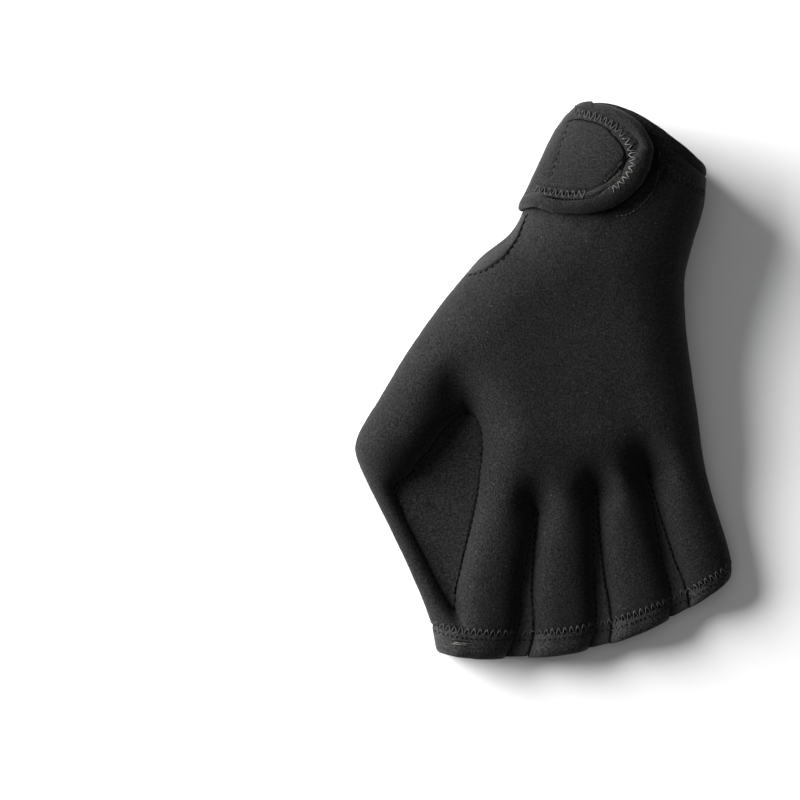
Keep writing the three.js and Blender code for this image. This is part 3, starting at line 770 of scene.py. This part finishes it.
STRAP_OUTLINE = [
    (593, 102), (609, 105), (626, 112), (643, 125), (651, 140), (655, 154), (653, 169),
    (644, 184), (629, 198), (615, 207), (593, 214), (571, 215), (549, 214), (533, 212),
]
OUTLINE_WINDOW = math.radians(5)
FACE_SHIFTS = [
    {"middle": (634, 142), "reach": 10, "shift": (7, -4)},
    {"middle": (594, 187), "reach": 14, "shift": (2, 5)},
]
D_LINE = [
    (566, 122), (572, 120), (581, 120), (596, 124), (610, 132), (620, 143), (625, 154),
    (623, 166), (618, 178), (606, 187), (596, 195), (584, 198), (563, 199), (546, 196),
]
FOLD_LINE = [(568, 122), (559, 148), (550, 177)]
D_DEPTH = 0.0007
D_WIDTH = 0.0010


def distance_to_line(spots, line):
    """How far each spot is from a line of straight stretches, in the plan or in space."""
    best = np.full(len(spots), np.inf)
    for start, end in zip(line, line[1:]):
        way = end - start
        share = np.clip((spots - start) @ way / (way @ way), 0, 1)
        best = np.minimum(best, np.linalg.norm(spots - start - share[:, None] * way, axis=1))
    return best


def roll_edge(piece, node):
    """Lowers the piece's face towards its cut edge, so that it meets the rim in a soft valley."""
    spots = vertex_table(piece, "co")
    normals = vertex_table(piece, "normal")
    upper = max(cut_loops(node), key=lambda loop: np.mean([point.z for point in loop]))
    edge = [np.array(point) for point in upper]
    near = np.clip(1 - distance_to_line(spots, edge) / EDGE_ROLL_WIDTH, 0, 1) ** 2
    facing = np.clip(normals[:, 2] + ROLLS_UNDER, 0, 1)
    spots -= normals * (EDGE_ROLL * near * facing)[:, None]
    place_vertices(piece, spots)


def draw_over(piece, middle, reach, shift):
    """Moves the cloth round a place of the photograph sideways, most in its middle; all in pixels."""
    spots = vertex_table(piece, "co")
    far = np.linalg.norm(spots[:, :2] - spot(*middle, STRAP_HEIGHT), axis=1) / (reach * PHOTO_PIXEL)
    way = np.array([shift[0], -shift[1]]) * PHOTO_PIXEL
    spots[:, :2] += np.exp(-far ** 2)[:, None] * way
    place_vertices(piece, spots)


def round_the_middle(spots):
    """Each spot's way round the strap's middle, as an angle, and how far out it is."""
    away = spots[:, :2] - spot(*STRAP_MIDDLE, STRAP_HEIGHT)
    return np.arctan2(away[:, 1], away[:, 0]), np.hypot(away[:, 0], away[:, 1])


def outline_table(outer):
    """For each place of the photograph's outline: its angle, its reach, and the reach that the piece has."""
    angles, reaches = round_the_middle(vertex_table(outer, "co"))
    wanted = np.array([spot(*pixel, STRAP_HEIGHT) for pixel in STRAP_OUTLINE])
    rows = []
    for angle, reach in zip(*round_the_middle(wanted)):
        near = np.abs(np.angle(np.exp(1j * (angles - angle)))) < OUTLINE_WINDOW
        rows.append((angle, reach, reaches[near].max()))
    return np.array(sorted(rows))


def draw_to_outline(piece, table):
    """Draws the cloth out or in, most at its border, so that the border lies on the outline."""
    spots = vertex_table(piece, "co")
    angles, reaches = round_the_middle(spots)
    wanted = np.interp(angles, table[:, 0], table[:, 1])
    found = np.interp(angles, table[:, 0], table[:, 2])
    inside = (angles > table[0, 0]) & (angles < table[-1, 0])
    more = np.where(inside, wanted / found - 1, 0) * np.clip(reaches / found, 0, 1) ** 2
    middle = spot(*STRAP_MIDDLE, STRAP_HEIGHT)
    spots[:, :2] = middle + (spots[:, :2] - middle) * (1 + more)[:, None]
    place_vertices(piece, spots)


def fold_flat(piece):
    """Flattens what stands out past the line where the strap folds over the glove's edge."""
    spots = vertex_table(piece, "co")
    line = np.array([spot(*pixel, STRAP_HEIGHT) for pixel in STRAP_LEFT])[::-1]
    past = np.interp(spots[:, 1], line[:, 1], line[:, 0]) - spots[:, 0]
    rounded = LEFT_ROUNDING * (np.tanh(past / LEFT_ROUNDING + 1) - 1)
    spots[:, 0] += np.where(past > -LEFT_ROUNDING, past - rounded, 0)
    place_vertices(piece, spots)


def settle(piece):
    """Lowers the strap's round end, so that it lies close on the pads and the cuff."""
    spots = vertex_table(piece, "co")
    start = spot(SETTLES_FROM, 0, STRAP_HEIGHT)[0]
    spots[:, 2] -= STRAP_SETTLE * np.clip((spots[:, 0] - start) / SETTLE_WIDTH, 0, 1)
    place_vertices(piece, spots)


def press_line(piece, pixels, width, depth):
    """Draws the cloth in along a line of the photograph."""
    spots = vertex_table(piece, "co")
    normals = vertex_table(piece, "normal")
    line = [spot(*pixel, STRAP_HEIGHT) for pixel in curve(pixels)]
    near = np.clip(1 - distance_to_line(spots[:, :2], line) / width, 0, 1)
    press = depth * near ** 2 * (3 - 2 * near) * np.clip(normals[:, 2], 0, 1)
    place_vertices(piece, spots - normals * press[:, None])


roll_edge(strap, "wrist_strap")
tuck_sides(strap, FACE_TUCK)
strap_outline = outline_table(rim)
for piece in (strap, rim):
    draw_to_outline(piece, strap_outline)
    fold_flat(piece)
    settle(piece)
for shift in FACE_SHIFTS:
    draw_over(strap, **shift)
for piece in (strap, rim):
    press_line(piece, D_LINE, D_WIDTH, D_DEPTH)
    press_line(piece, FOLD_LINE, D_WIDTH, D_DEPTH / 2)
    swell(piece, 0.8)
finish_piece(strap, strap_neoprene, "wrist_strap")
finish_piece(rim, strap_neoprene, "strap_binding")


# The strap's threads and marks: a near-black line laid along the D, its stitches overlapping, as painted
# shade of the crease at the face's edge; dark dashes down the fold; and the zigzags that hold the face,
# palest round the strap's end, each with a row of dark needle holes, dots of near-black thread as painted
# shade.
strap_surface = surface_of([strap, rim])
D_SHADE_RADIUS = 0.00024
D_SHADE_PITCH = 0.0012
D_SHADE_SHARE = 1.25
FLAT_ARCH = [0] * len(THREAD_ARCH)
d_line_shade = running(strap_surface, seen(strap_surface, D_LINE), D_SHADE_PITCH, D_SHADE_SHARE, seen_from=1)
stitches_mesh("strap_face_edge_shade", d_line_shade, dark_thread_and_shade, D_SHADE_RADIUS, FLAT_ARCH)
FOLD_PITCH = 0.0029
FOLD_STITCH_SHARE = 0.7
dashes = running(strap_surface, seen(strap_surface, FOLD_LINE), FOLD_PITCH, FOLD_STITCH_SHARE, seen_from=1)
stitches_mesh("strap_fold_stitches", dashes, dark_thread_and_shade)

STRAP_ZIGZAGS = [
    {
        "name": "strap_top", "thread": thread,
        "line": [(572, 111), (580, 113), (593, 116), (612, 125), (624, 136)],
    },
    {
        "name": "strap_end", "thread": pale_thread,
        "line": [(625, 137), (632, 153), (631, 169), (622, 182), (612, 190)],
    },
    {
        "name": "strap_root", "thread": thread,
        "line": [(535, 188), (548, 191), (566, 194), (585, 194)],
    },
]
STRAP_HOLES_INSIDE = 0.0019
STRAP_HOLE_RADIUS = 0.00028
for row in STRAP_ZIGZAGS:
    points = seen(strap_surface, row["line"])
    legs = zigzag(strap_surface, points, ZIG_PITCH, ZIG_WIDTH, seen_from=1)
    stitches_mesh(f"{row['name']}_zigzag", legs, row["thread"])
    holes = running(
        strap_surface, points, 2 * ZIG_PITCH, NEEDLE_SHARE, seen_from=1, aside=STRAP_HOLES_INSIDE
    )
    stitches_mesh(
        f"{row['name']}_needle_holes", holes, dark_thread_and_shade, STRAP_HOLE_RADIUS, HOLE_ARCH
    )


# The loop pad is sewn to the cuff with short stitches of the paler thread along its edge.
PAD_LINE = [(660, 151), (659, 171), (654, 189), (644, 203), (630, 213.5), (618, 216)]
PAD_PITCH = 0.0017
PAD_STITCH_SHARE = 0.8
PAD_STITCH_LIFT = 0.0001
pad_surface = surface_of([loop_pad, back])
pad_points = seen(pad_surface, PAD_LINE)
dashes = running(pad_surface, pad_points, PAD_PITCH, PAD_STITCH_SHARE, seen_from=1, lift=PAD_STITCH_LIFT)
stitches_mesh("loop_pad_stitches", dashes, thread)


# The scene: a pale floor, a soft key light low at the upper left with a weak one above, and the camera where
# the photograph's stood.
def area_light(name, place, aim, size, watts):
    """A round lamp that points from its place to its aim."""
    light = bpy.data.lights.new(name, "AREA")
    light.shape = "DISK"
    light.size = size
    light.energy = watts
    lamp = bpy.data.objects.new(name, light)
    lamp.location = place
    lamp.rotation_euler = (Vector(aim) - Vector(place)).to_track_quat("-Z", "Y").to_euler()
    bpy.context.collection.objects.link(lamp)


FLOOR_REACH = 3
bpy.ops.mesh.primitive_plane_add(size=2 * FLOOR_REACH, location=(0, 0, 0))
floor = bpy.context.active_object
floor.name = "floor"
floor_paint = bpy.data.materials.new("floor_paint")
floor_paint.use_nodes = True
floor_shader = floor_paint.node_tree.nodes["Principled BSDF"]
floor_shader.inputs["Base Color"].default_value = (0.86, 0.86, 0.86, 1)
floor_shader.inputs["Roughness"].default_value = 0.9
floor.data.materials.append(floor_paint)

area_light("key", (-1.15, 0.50, 0.41), (0, 0, 0.01), 1.2, 94)
area_light("top", (-0.3, 0.1, 1.7), (0, 0, 0), 1.2, 2)
world = bpy.data.worlds.new("studio")
world.use_nodes = True
world.node_tree.nodes["Background"].inputs["Color"].default_value = (1, 1, 1, 1)
world.node_tree.nodes["Background"].inputs["Strength"].default_value = 0.17
bpy.context.scene.world = world
bpy.context.scene.view_settings.view_transform = "Standard"

FRAME_WIDTH = 0.316
SENSOR = 36
camera_data = bpy.data.cameras.new("camera")
camera_data.sensor_width = SENSOR
camera_data.lens = SENSOR * (PHOTO_EYE[2] - PHOTO_PLANE) / FRAME_WIDTH
camera = bpy.data.objects.new("camera", camera_data)
camera.location = PHOTO_EYE
bpy.context.collection.objects.link(camera)
bpy.context.scene.camera = camera
